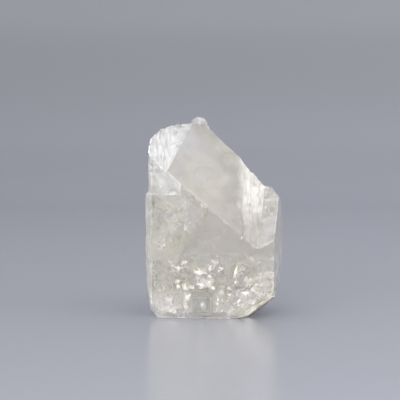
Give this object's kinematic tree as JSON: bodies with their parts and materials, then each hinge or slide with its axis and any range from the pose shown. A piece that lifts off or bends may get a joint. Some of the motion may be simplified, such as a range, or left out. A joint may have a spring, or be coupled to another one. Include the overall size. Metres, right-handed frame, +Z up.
{
  "type": "rough topaz crystal",
  "caption": "Rough pale topaz crystal: a short stout prism with one large sloping end face, a broken upper corner and a flat cleaved base that it stands on.",
  "frame": {"origin": "middle of the outline seen from above, on the flat cleaved base", "axes": "+Z up along the prism's long axis, -Y towards the viewer of the front prism face, +X to the shoulder with the small side crystal"},
  "size_m": [0.021, 0.0164, 0.0301],
  "materials": {
    "topaz": "clear to slightly smoky pale topaz, lustrous on the prism faces, etched and satin on the end face, frosted where it is broken, with bright internal cracks and veils"
  },
  "bodies": {
    "root": {"topaz_crystal": "topaz"}
  },
  "joints": []
}
